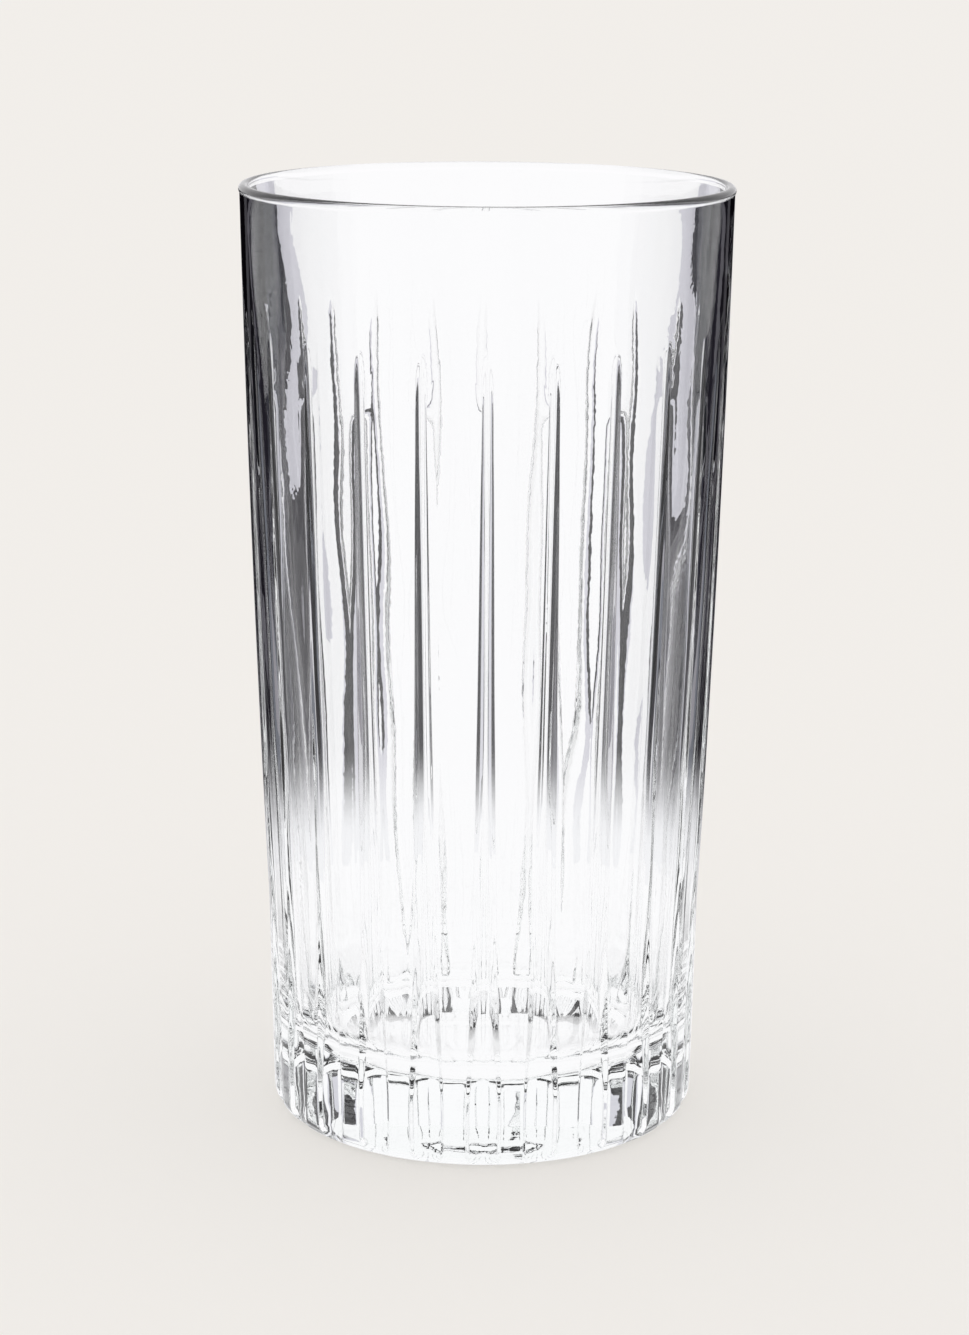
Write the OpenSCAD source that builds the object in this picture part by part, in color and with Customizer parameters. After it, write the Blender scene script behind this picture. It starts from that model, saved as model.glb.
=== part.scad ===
// Tall highball glass, pressed in one piece: a thick floor, a tapering wall with a rounded lip,
// and upright grooves all round that widen and deepen towards the foot.
// The origin is the middle of the resting plane, and the axis points up.

/* [Body] */
// Height of the glass
glass_h = 150; // [135:1:170]
// Outer radius of the foot
foot_r = 34.35; // [32:0.05:36]
// Height of the foot, above which the side opens more
foot_h = 35; // [22:1:45]
// Outer radius at the top of the foot
waist_r = 34.95; // [33:0.05:37]
// Outer radius just under the lip
rim_r = 38.45; // [37:0.05:42]
// How far the side swells beyond a straight line
side_swell = 0.38; // [0:0.02:0.8]
// Radius of the rounded heel
heel_r = 3; // [1.5:0.1:5]

/* [Lip] */
// Thickness of the rounded lip
lip_t = 1.7; // [1.4:0.05:2.4]
// How far the lip stands out beyond the side
lip_bulge = 0.2; // [0.05:0.05:0.4]

/* [Inside] */
// Thickness of the floor
floor_t = 11.6; // [8:0.1:20]
// Inner radius where the side meets the rounding of the floor
well_r = 30; // [27:0.1:31]
// Radius of the rounding between side and floor
well_round = 9.8; // [3:0.1:12]

/* [Underside] */
// Inner radius of the ring that the glass stands on
ring_r = 27; // [20:0.5:29]
// Depth of the shallow hollow inside that ring
hollow_h = 1.5; // [0.5:0.1:3]

/* [Grooves] */
// Number of grooves round the glass
groove_count = 24; // [18:1:28]
// Height at which the grooves are deepest
body_z = 68; // [50:1:90]
// Height above which the grooves run out
runout_z = 114; // [100:0.5:122]
// Height at which the grooves end
groove_top = 129.5; // [124:0.5:136]
// Width of a groove at the heel
groove_foot_w = 5.4; // [3.5:0.1:6.2]
// Width of a groove at the top of the foot
groove_waist_w = 5; // [3.5:0.1:6.2]
// Width of a groove where it is deepest
groove_body_w = 4.2; // [2:0.1:5]
// Width of a groove where it starts to run out
groove_top_w = 1.9; // [1:0.1:3]
// Width of a groove's flat bed at the heel
bed_foot_w = 4.2; // [1:0.1:4.6]
// Width of the bed at the top of the foot
bed_waist_w = 2; // [0.5:0.1:3]
// Width of the bed where the groove is deepest
bed_body_w = 0.6; // [0.3:0.05:1.5]
// Width of the bed where the groove runs out
bed_top_w = 0.3; // [0.2:0.05:0.8]
// Depth of a groove at the heel
depth_foot = 0.6; // [0.3:0.05:0.9]
// Depth at the top of the foot
depth_waist = 0.85; // [0.3:0.05:1.2]
// Depth where the groove is deepest
depth_body = 1.1; // [0.4:0.05:1.4]
// Depth where the groove starts to run out
depth_top = 0.4; // [0.2:0.05:0.8]

/* [Hidden] */
$fn = 180;
glass_colour = [0.84, 0.91, 0.9];
// How far the grooved column reaches beyond the glass
overrun = 0.5;
// Steps in the curves of the profile
lip_steps = 14;
heel_steps = 6;
well_steps = 10;
hollow_steps = 6;
side_steps = 8;
// Rows of the grooves along the heel, the side and the run-out
heel_rows = 4;
side_rows = 3;
runout_rows = 4;
// Part of a right angle at which the grooves' heel starts
heel_start_share = 0.2;
// How far past its end, in parts of the run-out, the last row of a groove lies
past_end = 0.1;
// Part of the hollow's arc that is drawn before its straight end at the ring
hollow_share = 0.85;
// Flat width that the resting ring keeps beside the rounding of the heel
ring_land = 0.8;

lip_r = lip_t / 2;
lip_x = rim_r + lip_bulge - lip_r;
lip_z = glass_h - lip_r;
lip_start = -acos((lip_r - lip_bulge) / lip_r);
side_top = lip_z + lip_r * sin(lip_start);
heel_round = min(heel_r, foot_r - ring_r - ring_land);
heel_x = foot_r - heel_round;
half_pitch = 180 / groove_count;
heel_start = 90 * heel_start_share;
heel_start_z = heel_round * (1 - cos(heel_start));
inner_top_r = lip_x - lip_r;
well_z = floor_t + well_round;
inner_lean = atan((inner_top_r - well_r) / (lip_z - well_z));
well_x = well_r - well_round * cos(inner_lean);
hollow_r = (ring_r * ring_r + hollow_h * hollow_h) / (2 * hollow_h);
hollow_half = asin(ring_r / hollow_r);
last_z = runout_z + (groove_top - runout_z) * (1 + past_end);

// Radius of the outer side at a height above the heel
function side_r(z) =
    z < foot_h
        ? foot_r + (waist_r - foot_r) * (z - heel_round) / (foot_h - heel_round)
        : let (t = (z - foot_h) / (side_top - foot_h))
          waist_r + (rim_r - waist_r) * t + 4 * side_swell * t * (1 - t);

// Height on the heel's arc at a share of its right angle
function heel_z(share) = heel_round * (1 - cos(90 * share));

// Outer radius, with the heel's arc carried on in a straight line below its first row
function outer_r(z) =
    z < heel_start_z ? heel_x + heel_round * sin(heel_start) - (heel_start_z - z) / tan(heel_start)
    : z < heel_round ? heel_x + sqrt(pow(heel_round, 2) - pow(heel_round - z, 2))
    : side_r(z);

// A groove's width, its bed's width and its depth at a height, even above the start of the run-out
function groove_w(z) = lookup(z, [
    [0, groove_foot_w], [foot_h, groove_waist_w], [body_z, groove_body_w], [runout_z, groove_top_w]]);
function bed_w(z) = lookup(z, [
    [0, bed_foot_w], [foot_h, bed_waist_w], [body_z, bed_body_w], [runout_z, bed_top_w]]);
function full_depth(z) = lookup(z, [
    [0, depth_foot], [foot_h, depth_waist], [body_z, depth_body], [runout_z, depth_top]]);

// Depth of the bed below the side: above runout_z it rises and leaves the glass at groove_top
function bed_depth(z) =
    let (t = max(0, (z - runout_z) / (groove_top - runout_z)))
    full_depth(z) * (1 - t * t);

// Points along an arc
function arc(x, z, r, from, to, steps) =
    [for (i = [0:steps]) let (a = from + (to - from) * i / steps) [x + r * cos(a), z + r * sin(a)]];

// Half section of the glass without its grooves
module half_section() {
    polygon(concat(
        arc(heel_x, heel_round, heel_round, -90, 0, heel_steps),
        [for (i = [1:side_steps]) let (z = foot_h + (side_top - foot_h) * (i - 1) / side_steps)
            [side_r(z), z]],
        arc(lip_x, lip_z, lip_r, lip_start, 180, lip_steps),
        arc(well_x, well_z, well_round, -inner_lean, -90, well_steps),
        [[0, floor_t]],
        arc(0, hollow_h - hollow_r, hollow_r, 90, 90 - hollow_half * hollow_share, hollow_steps),
        [[ring_r, 0]]
    ));
}

// Heights of the rows that shape the grooves, from below the resting plane to past their ends
groove_rows = concat(
    [-overrun],
    [for (i = [0:heel_rows]) heel_z(heel_start_share + (1 - heel_start_share) * i / heel_rows)],
    [foot_h, body_z],
    [for (i = [1:side_rows]) body_z + (runout_z - body_z) * i / side_rows],
    [for (i = [1:runout_rows]) runout_z + (last_z - runout_z) * sin(90 * i / runout_rows)]
);

// One groove at a height, seen along the axis, groove towards +Y: the bed's two corners, and the
// two points outside the glass that its flanks reach
function groove_section(z) =
    let (
        bed = bed_w(z) / 2,
        bed_y = outer_r(z) - bed_depth(z),
        lean = (groove_w(z) / 2 - bed) / full_depth(z),
        reach = bed + lean * (bed_depth(z) + overrun)
    )
    [[reach, outer_r(z) + overrun], [bed, bed_y], [-bed, bed_y], [-reach, outer_r(z) + overrun]];

// The same four points where the column stands clear of the plain band and the lip
clear_section =
    [for (p = groove_section(last_z)) p * (rim_r + lip_bulge + overrun * 2) / norm(p)];

// A section turned to a groove's place and lifted to its height
function placed(section, angle, z) =
    [for (p = section) [p.x * cos(angle) - p.y * sin(angle), p.x * sin(angle) + p.y * cos(angle), z]];

// One full row of the column, all round
function column_row(section, z) =
    [for (i = [0:groove_count - 1]) each placed(section, 2 * i * half_pitch, z)];

// A column with grooves all round, wider than the glass between and above the grooves
module grooved_column() {
    rows = concat(
        [for (z = groove_rows) column_row(groove_section(z), z)],
        [for (z = [last_z + overrun, glass_h + overrun]) column_row(clear_section, z)]
    );
    side = len(rows[0]);
    last = len(rows) - 1;
    polyhedron(
        points = [for (row = rows) each row],
        faces = concat(
            [[for (k = [0:side - 1]) k]],
            [for (i = [0:last - 1], k = [0:side - 1])
                let (a = i * side + k, b = i * side + (k + 1) % side)
                each [[a, a + side, b], [b, a + side, b + side]]],
            [[for (k = [side - 1:-1:0]) last * side + k]]
        )
    );
}

// The whole glass, one groove facing the front
module tumbler() {
    color(glass_colour)
    intersection() {
        rotate_extrude() half_section();
        grooved_column();
    }
}

tumbler();
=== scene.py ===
import math

import bpy
import numpy as np
from mathutils import Matrix


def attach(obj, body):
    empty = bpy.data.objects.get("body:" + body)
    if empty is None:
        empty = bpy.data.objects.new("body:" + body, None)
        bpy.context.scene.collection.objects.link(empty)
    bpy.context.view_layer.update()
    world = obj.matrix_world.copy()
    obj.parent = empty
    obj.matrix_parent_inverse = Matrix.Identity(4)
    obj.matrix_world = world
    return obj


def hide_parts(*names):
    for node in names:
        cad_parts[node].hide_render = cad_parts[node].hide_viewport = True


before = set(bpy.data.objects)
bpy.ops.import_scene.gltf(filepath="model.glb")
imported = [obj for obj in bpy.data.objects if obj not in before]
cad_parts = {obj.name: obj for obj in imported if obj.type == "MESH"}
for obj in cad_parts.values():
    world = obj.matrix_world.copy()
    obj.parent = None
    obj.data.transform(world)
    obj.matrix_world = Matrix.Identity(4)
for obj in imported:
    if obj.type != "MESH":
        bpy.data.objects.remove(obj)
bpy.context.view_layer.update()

# The photographer's view: a lens of about 87 mm on the long side of the picture, half a metre
# from the axis of the glass and a little above its rim, looking down at the middle of the side.
IMAGE_HEIGHT_PX = 1335
SENSOR_MM = 36.0
FOCAL_PX = 3240.9
CAMERA_BACK = 0.5067
CAMERA_HEIGHT = 0.1967
LOOK_DOWN = math.radians(13.78)
CAMERA_ROLL = math.radians(0.34)

camera_data = bpy.data.cameras.new("camera")
camera_data.sensor_width = SENSOR_MM
camera_data.lens = FOCAL_PX * SENSOR_MM / IMAGE_HEIGHT_PX
camera_data.clip_start = 0.02
camera_data.clip_end = 60.0
camera = bpy.data.objects.new("camera", camera_data)
camera.matrix_world = (
    Matrix.Translation((0.0, -CAMERA_BACK, CAMERA_HEIGHT))
    @ Matrix.Rotation(math.pi / 2 - LOOK_DOWN, 4, "X")
    @ Matrix.Rotation(CAMERA_ROLL, 4, "Z")
)
bpy.context.scene.collection.objects.link(camera)
bpy.context.scene.camera = camera
bpy.context.scene.view_settings.view_transform = "Standard"
# Light is turned back again and again in the thick foot, so its way is followed a little longer.
bpy.context.scene.cycles.glossy_bounces = 6


# The tumbler: one gather of clear soda-lime glass, pressed in a mould. The plunger leaves the
# smooth inside, the mould the upright grooves, and a flame rounds the lip afterwards.
MM = 0.001
# Sizes in millimetres. Height and bulge of the lip are a hair under those of the solid, whose
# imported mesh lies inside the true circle.
GLASS_HEIGHT = 149.995
FOOT_RADIUS = 34.35
FOOT_HEIGHT = 35.0
WAIST_RADIUS = 34.95
RIM_RADIUS = 38.45
SIDE_SWELL = 0.38
HEEL_ROUND = 3.0
LIP_THICKNESS = 1.7
LIP_BULGE = 0.17
FLOOR_THICKNESS = 11.6
WELL_RADIUS = 30.0
WELL_ROUND = 9.8
RING_RADIUS = 27.0
HOLLOW_DEPTH = 1.5

# The grooves: how many, how far the first is turned from the front in degrees, between which
# heights they run out at the top, and between which they end round on the heel.
GROOVE_COUNT = 24
GROOVE_TURN = 0.4
RUNOUT_START = 117.0
GROOVE_TOP = 128.5
GROOVE_END_LOW = 0.3
GROOVE_END_HIGH = 3.3
# A groove's section at eleven heights, as distances from its middle: where its flat bed ends,
# where the bed's rounding ends, the crease in the flank, and the edge; then the slopes of the
# flank below and above its crease.
LEVELS = (0.0, 12.0, 22.0, 35.0, 47.0, 55.0, 63.0, 76.0, 92.0, 107.0, 118.0)
BED_END = (2.1, 2.1, 1.2, 0.5, 0.2, 0.1, 0.05, 0.05, 0.05, 0.05, 0.05)
ROUND_END = (2.25, 2.25, 1.4, 0.9, 0.5, 0.35, 0.2, 0.15, 0.25, 0.38, 0.5)
CREASE = (2.45, 2.45, 1.8, 1.4, 1.2, 1.05, 0.95, 0.85, 0.78, 0.74, 0.68)
EDGE = (2.75, 2.75, 2.4, 1.9, 1.75, 1.6, 1.5, 1.3, 1.14, 1.0, 0.87)
LOW_SLOPE = (1.1, 1.1, 0.8, 0.5, 0.4, 0.44, 0.5, 0.51, 0.51, 0.52, 0.51)
HIGH_SLOPE = (1.1, 1.1, 0.9, 0.6, 0.5, 0.62, 0.84, 0.88, 0.88, 0.86, 0.8)
# Half widths of the bends at crease and edge, how softly the edge meets the side, and the least
# width of a bend
CREASE_REACH = 0.06
EDGE_REACH = 0.06
EDGE_SOFTNESS = 0.03
SHORTEST_BEND = 0.01

# The mesh: columns over half a pitch, the shares of them at which the parts of a groove's section
# start, how far above the run-out's start they begin to grow even, and how even they get.
COLUMNS_PER_HALF_PITCH = 15
COLUMN_SHARES = (0.0, 1 / 15, 5 / 15, 7 / 15, 10 / 15, 12 / 15, 1.0)
EVEN_DELAY = 4.0
EVEN_SHARE = 0.7
# Points along each part of the profile, from the hollow underside to the floor inside. Insets and
# outsets place the rows on the flat of the ring, the margin ends the fine rows above the grooves,
# and the band's last two rows lie close under the lip.
HOLLOW_ROWS = 6
RING_INSET = 0.6
RING_OUTSETS = (1.2, 0.4)
HEEL_ROWS = 9
HEEL_FIRST_TURN = 0.08
SIDE_ROWS = 30
RUNOUT_ROWS = 24
RUNOUT_MARGIN = 2.5
BAND_ROWS = 4
BAND_LAST = (0.3, 0.1)
LIP_ROWS = 13
INNER_ROWS = 36
WELL_ROWS = 11
FLOOR_SHARES = (0.66, 0.33)

# The plunger's waves: their height, and four waves as strength, count round the wall, lean and
# start. Then the height at which they begin, the height over which they grow, and that over which
# they die away under the lip.
WAVE_HEIGHT = 0.045
WAVES = (
    (0.8, 11.0, 0.045, 1.3),
    (0.45, 13.0, 0.19, 0.4),
    (0.35, 7.0, -0.27, 2.0),
    (0.5, 17.0, 0.09, 0.0),
)
WAVE_FOOT = 22.0
WAVE_FOOT_RISE = 25.0
WAVE_LIP_FALL = 10.0

LIP_ROUND = LIP_THICKNESS / 2
LIP_CENTRE = RIM_RADIUS + LIP_BULGE - LIP_ROUND
LIP_LEVEL = GLASS_HEIGHT - LIP_ROUND
LIP_FROM = -math.acos((LIP_ROUND - LIP_BULGE) / LIP_ROUND)
SIDE_TOP = LIP_LEVEL + LIP_ROUND * math.sin(LIP_FROM)
HEEL_CENTRE = FOOT_RADIUS - HEEL_ROUND
INNER_TOP = LIP_CENTRE - LIP_ROUND
WELL_LEVEL = FLOOR_THICKNESS + WELL_ROUND
INNER_LEAN = math.atan((INNER_TOP - WELL_RADIUS) / (LIP_LEVEL - WELL_LEVEL))
WELL_CENTRE = WELL_RADIUS - WELL_ROUND * math.cos(INNER_LEAN)


def side_radius(z):
    """Radius of the side: a slow straight taper up the foot, then a straight taper plus a
    parabola that swells the side between foot and lip."""
    t = np.clip((z - FOOT_HEIGHT) / (SIDE_TOP - FOOT_HEIGHT), 0.0, 1.0)
    up_the_foot = (z - HEEL_ROUND) / (FOOT_HEIGHT - HEEL_ROUND)
    foot = FOOT_RADIUS + (WAIST_RADIUS - FOOT_RADIUS) * up_the_foot
    body = WAIST_RADIUS + (RIM_RADIUS - WAIST_RADIUS) * t + 4.0 * SIDE_SWELL * t * (1.0 - t)
    return np.where(z < FOOT_HEIGHT, foot, body)


def outer_radius(z):
    """Outer radius at any height: a quarter circle round the heel, then the side."""
    heel = HEEL_CENTRE + np.sqrt(np.clip(HEEL_ROUND**2 - (HEEL_ROUND - z) ** 2, 0.0, None))
    return np.where(z < HEEL_ROUND, heel, side_radius(z))


def smooth_step(t):
    """Three times the square of t less twice its cube, with t held between 0 and 1."""
    t = np.clip(t, 0.0, 1.0)
    return t * t * (3.0 - 2.0 * t)


def ramp(z, values):
    """A smooth curve through one value for each of LEVELS: between two levels it is a cubic whose
    slope at each level is the mean of the straight slopes on both sides, and nothing at the
    last."""
    x, y = np.asarray(LEVELS), np.asarray(values)
    between = np.diff(y) / np.diff(x)
    slope = np.concatenate([between[:1], (between[1:] + between[:-1]) / 2.0, [0.0]])
    z = np.clip(z, x[0], x[-1])
    k = np.clip(np.searchsorted(x, z, side="right") - 1, 0, len(x) - 2)
    step = x[k + 1] - x[k]
    t = (z - x[k]) / step
    return (y[k] * (1 + 2 * t) * (1 - t) ** 2 + slope[k] * step * t * (1 - t) ** 2
            + y[k + 1] * t * t * (3 - 2 * t) - slope[k + 1] * step * t * t * (1 - t))


def across_groove(share, z):
    """Distance from a groove's middle, where share runs from 0 there to 1 half-way to the next
    groove. Even steps of share fall on the bed, the lower flank, its crease, the upper flank, the
    edge and the plain strip beside it in the proportions of COLUMN_SHARES. Over the run-out the
    steps grow even by a smooth step of the height."""
    half_pitch = outer_radius(z) * math.pi / GROOVE_COUNT
    crease, edge = ramp(z, CREASE), ramp(z, EDGE)
    stops = [np.zeros_like(z), ramp(z, BED_END), crease - CREASE_REACH, crease + CREASE_REACH,
             edge - EDGE_REACH, edge + EDGE_REACH, half_pitch]
    marks = COLUMN_SHARES
    follow = np.zeros_like(share * z)
    for k in range(len(marks) - 1):
        part = np.clip((share - marks[k]) / (marks[k + 1] - marks[k]), 0.0, 1.0)
        follow = follow + part * (stops[k + 1] - stops[k])
    even_length = GROOVE_TOP - RUNOUT_START - EVEN_DELAY
    even = smooth_step((z - RUNOUT_START - EVEN_DELAY) / even_length)
    return follow + (half_pitch * share - follow) * even * EVEN_SHARE


def groove_cut(across, z):
    """How deep the surface lies inside the plain side, at a distance across from the middle of a
    groove. The slope of the groove is nothing on its flat bed, grows evenly over the bed's
    rounding to that of the lower flank, changes evenly at the crease to that of the upper flank,
    and stays; the rise is the sum of the slopes up to a point. Above the run-out's start the
    whole groove is lifted with the square of the height, until its bed leaves the glass. At the
    foot the distance is taken from a half ellipse, so that the groove ends round on the heel.
    Where the groove would stand out of the side the cut is nothing, with a small rounding at the
    edge: half the sum of the depth and the root of its square plus that of EDGE_SOFTNESS."""
    low, high, crease = ramp(z, LOW_SLOPE), ramp(z, HIGH_SLOPE), ramp(z, CREASE)
    stops = [ramp(z, BED_END), ramp(z, ROUND_END), crease - CREASE_REACH, crease + CREASE_REACH]
    slopes = [np.zeros_like(z), low, low, high]

    def rise_at(distance):
        total = high * np.clip(distance - stops[3], 0.0, None)
        for k in range(3):
            length = np.maximum(stops[k + 1] - stops[k], SHORTEST_BEND)
            part = np.clip(distance - stops[k], 0.0, length)
            growth = (slopes[k + 1] - slopes[k]) / (2.0 * length)
            total = total + slopes[k] * part + growth * part**2
        return total

    lift = np.clip((z - RUNOUT_START) / (GROOVE_TOP - RUNOUT_START), 0.0, None) ** 2
    edge = ramp(z, EDGE)
    end_height = GROOVE_END_HIGH - GROOVE_END_LOW
    foot = np.clip((GROOVE_END_HIGH - z) / end_height, 0.0, None) * edge
    depth = rise_at(edge) * (1.0 - lift) - rise_at(np.sqrt(across**2 + foot**2))
    return (depth + np.sqrt(depth**2 + EDGE_SOFTNESS**2)) / 2.0


def plunger_wave(angle, z):
    """The slight unevenness that the plunger leaves inside: a sum of sines of the angle times a
    count plus the height times a lean, which die away by smooth steps at the lip and towards the
    floor."""
    wave = sum(strength * np.sin(count * angle + lean * z + start)
               for strength, count, lean, start in WAVES)
    rise = smooth_step((z - WAVE_FOOT) / WAVE_FOOT_RISE)
    return WAVE_HEIGHT * wave * rise * smooth_step((LIP_LEVEL - z) / WAVE_LIP_FALL)


def arc(x, z, radius, start, end, count):
    """Points on a circle's arc, as (radius, height) pairs at even angles."""
    a = np.linspace(start, end, count)
    return np.stack([x + radius * np.cos(a), z + radius * np.sin(a)], axis=1)


def glass_grid():
    """The whole skin of the glass as rows of (x, y, z), from the middle of the underside out,
    round the heel, up the side, over the lip, down the inside and in over the floor. A row is a
    circle at its height, drawn in by groove_cut on the outside. Each half pitch has the same
    columns, mirrored about the groove's middle."""
    share = np.arange(1 - COLUMNS_PER_HALF_PITCH, COLUMNS_PER_HALF_PITCH + 1)
    share = share / COLUMNS_PER_HALF_PITCH
    side = np.where(share < 0.0, -1.0, 1.0)
    share = np.abs(share)
    middles = np.repeat(np.arange(GROOVE_COUNT) * 2.0 * math.pi / GROOVE_COUNT, len(share))
    middles = middles + math.radians(GROOVE_TURN)

    hollow_radius = (RING_RADIUS**2 + HOLLOW_DEPTH**2) / (2.0 * HOLLOW_DEPTH)
    hollow_end = math.pi / 2 - math.asin(RING_RADIUS / hollow_radius)
    hollow_z = HOLLOW_DEPTH - hollow_radius
    under = arc(0.0, hollow_z, hollow_radius, math.pi / 2, hollow_end, HOLLOW_ROWS)[1:]
    ring_r = [RING_RADIUS + RING_INSET] + [HEEL_CENTRE - outset for outset in RING_OUTSETS]
    ring = np.array([[r, 0.0] for r in ring_r])
    heel_z = HEEL_ROUND * (1.0 - np.cos(np.linspace(HEEL_FIRST_TURN, math.pi / 2, HEEL_ROWS)))
    band_start = GROOVE_TOP + RUNOUT_MARGIN
    outer_z = np.concatenate([
        heel_z,
        np.linspace(HEEL_ROUND, RUNOUT_START, SIDE_ROWS)[1:],
        np.linspace(RUNOUT_START, band_start, RUNOUT_ROWS)[1:],
        np.linspace(band_start, SIDE_TOP - BAND_LAST[0], BAND_ROWS)[1:],
        [SIDE_TOP - BAND_LAST[1], SIDE_TOP],
    ])
    lip = arc(LIP_CENTRE, LIP_LEVEL, LIP_ROUND, LIP_FROM, math.pi, LIP_ROWS)[1:]
    well_top = WELL_LEVEL - WELL_ROUND * math.sin(INNER_LEAN)
    inner_z = np.linspace(LIP_LEVEL, well_top, INNER_ROWS)[1:]
    inner_r = WELL_RADIUS + (inner_z - inner_z[-1]) * math.tan(INNER_LEAN)
    inner = np.stack([inner_r, inner_z], axis=1)
    well = arc(WELL_CENTRE, WELL_LEVEL, WELL_ROUND, -INNER_LEAN, -math.pi / 2, WELL_ROWS)[1:]
    floor = np.array([[WELL_CENTRE * s, FLOOR_THICKNESS] for s in FLOOR_SHARES])

    width = len(share)
    outer_h = np.repeat(outer_z[:, None], width, axis=1)
    across = across_groove(share[None, :], outer_h)
    outer_r = outer_radius(outer_h) - groove_cut(across, outer_h)
    outer_a = side * across / outer_radius(outer_h)
    even_a = side * share * math.pi / GROOVE_COUNT
    before, after = np.concatenate([under, ring]), np.concatenate([lip, inner, well, floor])
    before_r, before_h = (np.repeat(before[:, k:k + 1], width, axis=1) for k in (0, 1))
    after_r, after_h = (np.repeat(after[:, k:k + 1], width, axis=1) for k in (0, 1))
    radius = np.concatenate([before_r, outer_r, after_r])
    height = np.concatenate([before_h, outer_h, after_h])
    turn = np.concatenate([
        np.repeat(outer_a[:1], len(before), axis=0), outer_a,
        np.repeat(even_a[None, :], len(after), axis=0)])
    radius, height, turn = (np.tile(v, GROOVE_COUNT) for v in (radius, height, turn))
    angle = turn + middles[None, :] - math.pi / 2.0
    wall_start = len(before) + len(outer_z) + len(lip)
    wall = slice(wall_start, wall_start + len(inner))
    radius[wall] += plunger_wave(angle[wall], height[wall])
    return np.stack([radius * np.cos(angle), radius * np.sin(angle), height], axis=2) * MM


def skin_mesh(name, grid, first_pole, last_pole):
    """A closed mesh from rows of points round an axis: quads between rows, and a fan of
    triangles from each end row to its pole."""
    rows, columns = grid.shape[:2]
    index = np.arange(rows * columns).reshape(rows, columns)
    nxt = np.roll(index, -1, axis=1)
    quads = np.stack([index[:-1], nxt[:-1], nxt[1:], index[1:]], axis=-1).reshape(-1, 4)
    poles = rows * columns
    low = np.stack([np.full(columns, poles), nxt[0], index[0]], axis=-1)
    high = np.stack([np.full(columns, poles + 1), index[-1], nxt[-1]], axis=-1)
    points = np.concatenate([grid.reshape(-1, 3), [first_pole, last_pole]])
    corners = np.concatenate([quads.ravel(), low.ravel(), high.ravel()])
    sizes = np.concatenate([np.full(len(quads), 4), np.full(2 * columns, 3)])
    mesh = bpy.data.meshes.new(name)
    mesh.vertices.add(len(points))
    mesh.vertices.foreach_set("co", points.astype(np.float32).ravel())
    mesh.loops.add(len(corners))
    mesh.loops.foreach_set("vertex_index", corners.astype(np.int32))
    mesh.polygons.add(len(sizes))
    starts = np.concatenate([[0], np.cumsum(sizes)[:-1]])
    mesh.polygons.foreach_set("loop_start", starts.astype(np.int32))
    mesh.polygons.foreach_set("use_smooth", np.ones(len(sizes), dtype=bool))
    mesh.update(calc_edges=True)
    mesh.validate()
    return mesh


grid = glass_grid()
tumbler = bpy.data.objects.new("pressed_tumbler", skin_mesh(
    "pressed_tumbler", grid, (0.0, 0.0, HOLLOW_DEPTH * MM), (0.0, 0.0, FLOOR_THICKNESS * MM)))
bpy.context.scene.collection.objects.link(tumbler)


GLASS_WHITE = (0.996, 0.998, 0.998)
GLASS_GREEN = (0.55, 0.8, 0.72)
GREEN_DENSITY = 1.0
GLASS_IOR = 1.52
SKIN_SCALE = 420.0
SKIN_DETAIL = 2.0
SKIN_HEIGHT = 0.000006


def clear_glass():
    """Clear soda-lime glass: full transmission, a faint green that grows with the way through
    the glass, and a skin whose fine unevenness, a noise over Object coordinates, bends light a
    little."""
    material = bpy.data.materials.new("clear_soda_lime_glass")
    material.use_nodes = True
    nodes, links = material.node_tree.nodes, material.node_tree.links
    shader = nodes["Principled BSDF"]
    shader.inputs["Base Color"].default_value = (*GLASS_WHITE, 1.0)
    shader.inputs["Roughness"].default_value = 0.0
    shader.inputs["IOR"].default_value = GLASS_IOR
    shader.inputs["Transmission Weight"].default_value = 1.0
    place = nodes.new("ShaderNodeTexCoord")
    skin = nodes.new("ShaderNodeTexNoise")
    skin.inputs["Scale"].default_value = SKIN_SCALE
    skin.inputs["Detail"].default_value = SKIN_DETAIL
    links.new(place.outputs["Object"], skin.inputs["Vector"])
    bump = nodes.new("ShaderNodeBump")
    bump.inputs["Strength"].default_value = 1.0
    bump.inputs["Distance"].default_value = SKIN_HEIGHT
    links.new(skin.outputs[0], bump.inputs["Height"])
    links.new(bump.outputs["Normal"], shader.inputs["Normal"])
    tint = nodes.new("ShaderNodeVolumeAbsorption")
    tint.inputs["Color"].default_value = (*GLASS_GREEN, 1.0)
    tint.inputs["Density"].default_value = GREEN_DENSITY
    links.new(tint.outputs[0], nodes["Material Output"].inputs["Volume"])
    return material


tumbler.data.materials.append(clear_glass())
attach(tumbler, "root")
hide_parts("tumbler")


# The studio: a wide pale floor under an even sky, as a photographer's light tent gives. The
# camera sees floor and sky in the same warm off-white, and the glass sees them white.
BACKDROP = (0.888, 0.863, 0.823)
TENT_WHITE = (0.995, 0.985, 1.0)
TABLE_WHITE = (0.98, 0.975, 0.985)
FLOOR_SIZE = 12.0
SHADOW_SHARE = 0.4


def ray_mix(nodes, links, seen, through_glass, lighting):
    """Picks a shader by the kind of ray: seen for camera rays, through_glass for glossy and
    transmission rays, and lighting for the rest."""
    path = nodes.new("ShaderNodeLightPath")
    either = nodes.new("ShaderNodeMath")
    either.operation = "MAXIMUM"
    links.new(path.outputs["Is Glossy Ray"], either.inputs[0])
    links.new(path.outputs["Is Transmission Ray"], either.inputs[1])
    glass = nodes.new("ShaderNodeMixShader")
    links.new(either.outputs[0], glass.inputs[0])
    links.new(lighting.outputs[0], glass.inputs[1])
    links.new(through_glass.outputs[0], glass.inputs[2])
    pick = nodes.new("ShaderNodeMixShader")
    links.new(path.outputs["Is Camera Ray"], pick.inputs[0])
    links.new(glass.outputs[0], pick.inputs[1])
    links.new(seen.outputs[0], pick.inputs[2])
    return pick


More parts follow.
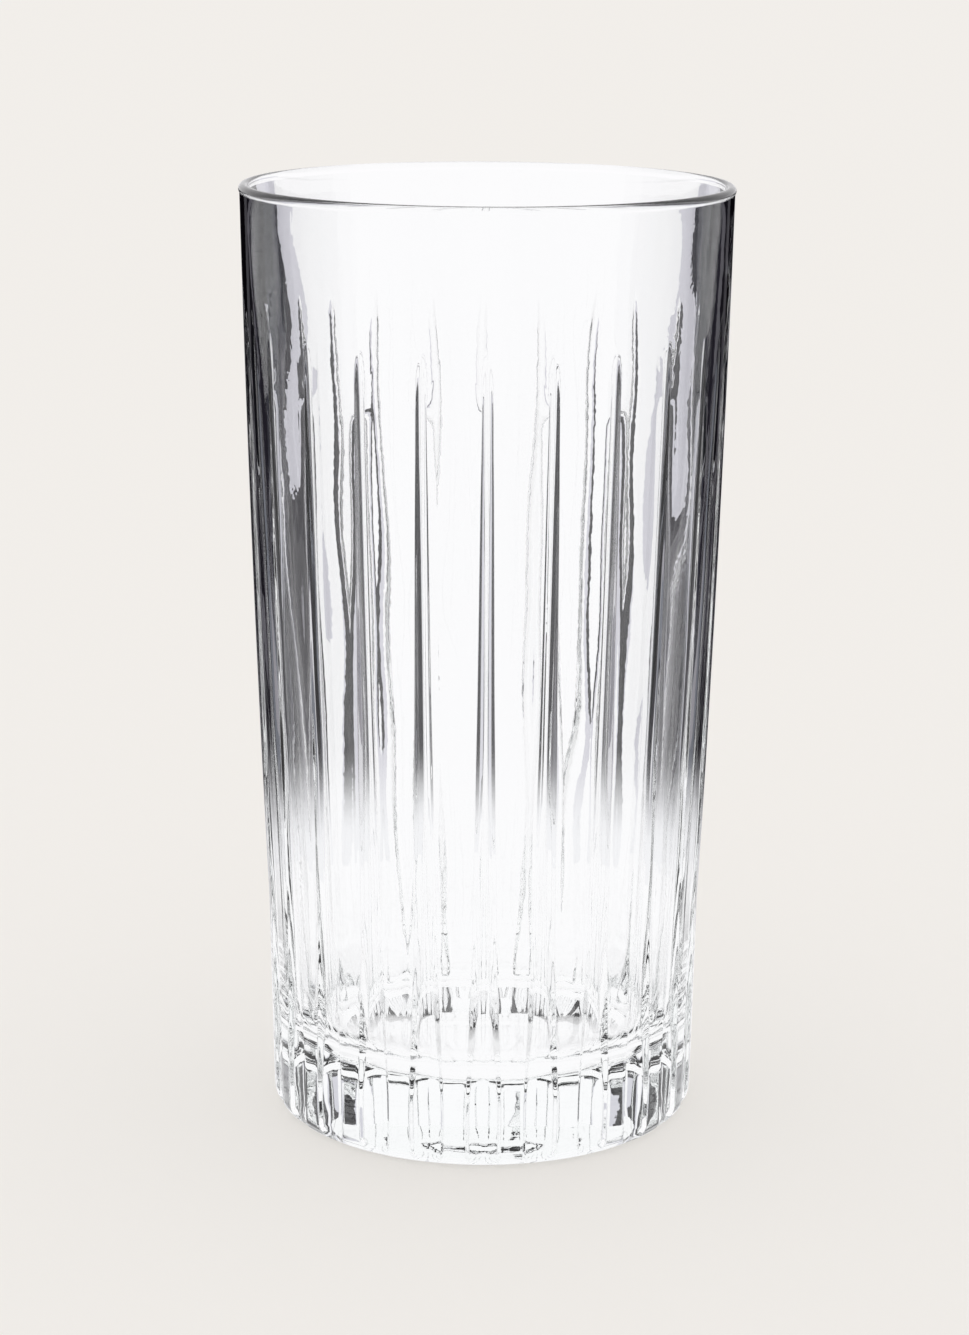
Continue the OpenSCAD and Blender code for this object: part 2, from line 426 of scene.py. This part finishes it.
world = bpy.data.worlds.new("light_tent")
bpy.context.scene.world = world
world.use_nodes = True
nodes, links = world.node_tree.nodes, world.node_tree.links
nodes.clear()
seen = nodes.new("ShaderNodeBackground")
seen.inputs["Color"].default_value = (*BACKDROP, 1.0)
tent = nodes.new("ShaderNodeBackground")
tent.inputs["Color"].default_value = (*TENT_WHITE, 1.0)
out = nodes.new("ShaderNodeOutputWorld")
links.new(ray_mix(nodes, links, seen, tent, tent).outputs[0], out.inputs["Surface"])

floor_mesh = bpy.data.meshes.new("floor")
reach = FLOOR_SIZE / 2.0
floor_corners = [(-reach, -reach, 0.0), (reach, -reach, 0.0),
                 (reach, reach, 0.0), (-reach, reach, 0.0)]
floor_mesh.from_pydata(floor_corners, [], [(0, 1, 2, 3)])
floor = bpy.data.objects.new("floor", floor_mesh)
floor_material = bpy.data.materials.new("pale_floor")
floor_material.use_nodes = True
nodes, links = floor_material.node_tree.nodes, floor_material.node_tree.links
nodes.clear()
shaded = nodes.new("ShaderNodeBsdfDiffuse")
shaded.inputs["Color"].default_value = (*BACKDROP, 1.0)
glow = nodes.new("ShaderNodeEmission")
glow.inputs["Color"].default_value = (*BACKDROP, 1.0)
seen = nodes.new("ShaderNodeMixShader")
seen.inputs[0].default_value = SHADOW_SHARE
links.new(glow.outputs[0], seen.inputs[1])
links.new(shaded.outputs[0], seen.inputs[2])
white = nodes.new("ShaderNodeEmission")
white.inputs["Color"].default_value = (*TABLE_WHITE, 1.0)
out = nodes.new("ShaderNodeOutputMaterial")
links.new(ray_mix(nodes, links, seen, white, white).outputs[0], out.inputs["Surface"])
floor_mesh.materials.append(floor_material)
bpy.context.scene.collection.objects.link(floor)

# The dark cards of a glass photographer, bent round both sides of the glass at a hand's width,
# with lilac paper along their inner edges and greys at their outer ends. They give clear glass
# its dark edges, and only the glass sees them.
CARD_RADIUS = 0.13
CARD_HEIGHT = 0.141
CARD_STEP_DEG = 2.0
# The table's light on the feet of the cards: between which heights it fades, and its tone
FOOT_LIGHT_LOW = 0.005
FOOT_LIGHT_HIGH = 0.024
FOOT_LIGHT = (0.9, 0.9, 0.92)
# Each strip: its name, where it starts and ends in degrees from the back, and its tone
CARDS = (
    ("lilac", 20.5, 24.6, (0.66, 0.65, 0.71)),
    ("black", 24.6, 43.5, (0.004, 0.003, 0.005)),
    ("slate", 43.5, 48.5, (0.16, 0.155, 0.175)),
    ("dark", 48.5, 60.0, (0.02, 0.018, 0.026)),
    ("sooty", 60.0, 70.0, (0.004, 0.003, 0.005)),
    ("ash", 70.0, 78.0, (0.16, 0.17, 0.2)),
    ("grey", 78.0, 86.0, (0.3, 0.29, 0.32)),
    ("pale", 86.0, 98.0, (0.7, 0.69, 0.72)),
)


def card_paper(name, tone):
    """Even paper whose foot is lightened by the table: a smooth step of the height between the
    light's tone and the paper's."""
    paper = bpy.data.materials.new(name)
    paper.use_nodes = True
    nodes, links = paper.node_tree.nodes, paper.node_tree.links
    nodes.clear()
    place = nodes.new("ShaderNodeTexCoord")
    height = nodes.new("ShaderNodeSeparateXYZ")
    links.new(place.outputs["Object"], height.inputs[0])
    rise = nodes.new("ShaderNodeMapRange")
    rise.interpolation_type = "SMOOTHSTEP"
    rise.inputs["From Min"].default_value = FOOT_LIGHT_LOW
    rise.inputs["From Max"].default_value = FOOT_LIGHT_HIGH
    links.new(height.outputs["Z"], rise.inputs["Value"])
    mix = nodes.new("ShaderNodeMix")
    mix.data_type = "RGBA"
    mix.inputs[6].default_value = (*FOOT_LIGHT, 1.0)
    mix.inputs[7].default_value = (*tone, 1.0)
    links.new(rise.outputs["Result"], mix.inputs[0])
    glow = nodes.new("ShaderNodeEmission")
    links.new(mix.outputs[2], glow.inputs["Color"])
    out = nodes.new("ShaderNodeOutputMaterial")
    links.new(glow.outputs[0], out.inputs["Surface"])
    return paper


for name, start, end, tone in CARDS:
    paper = card_paper(name + "_paper", tone)
    for side in (-1.0, 1.0):
        points = int((end - start) / CARD_STEP_DEG) + 2
        turn = np.radians(np.linspace(start, end, points)) * side
        across, along = np.sin(turn) * CARD_RADIUS, np.cos(turn) * CARD_RADIUS
        foot = np.stack([across, along, np.zeros_like(turn)], axis=1)
        top = foot + [0.0, 0.0, CARD_HEIGHT]
        k = np.arange(points - 1)
        faces = np.stack([k, k + 1, k + 1 + points, k + points], axis=1)
        card_mesh = bpy.data.meshes.new(name + "_card")
        card_mesh.from_pydata(np.concatenate([foot, top]).tolist(), [], faces.tolist())
        card_mesh.materials.append(paper)
        card = bpy.data.objects.new(name + "_card", card_mesh)
        bpy.context.scene.collection.objects.link(card)
        card.visible_camera = False
        card.visible_diffuse = False
        card.visible_shadow = False
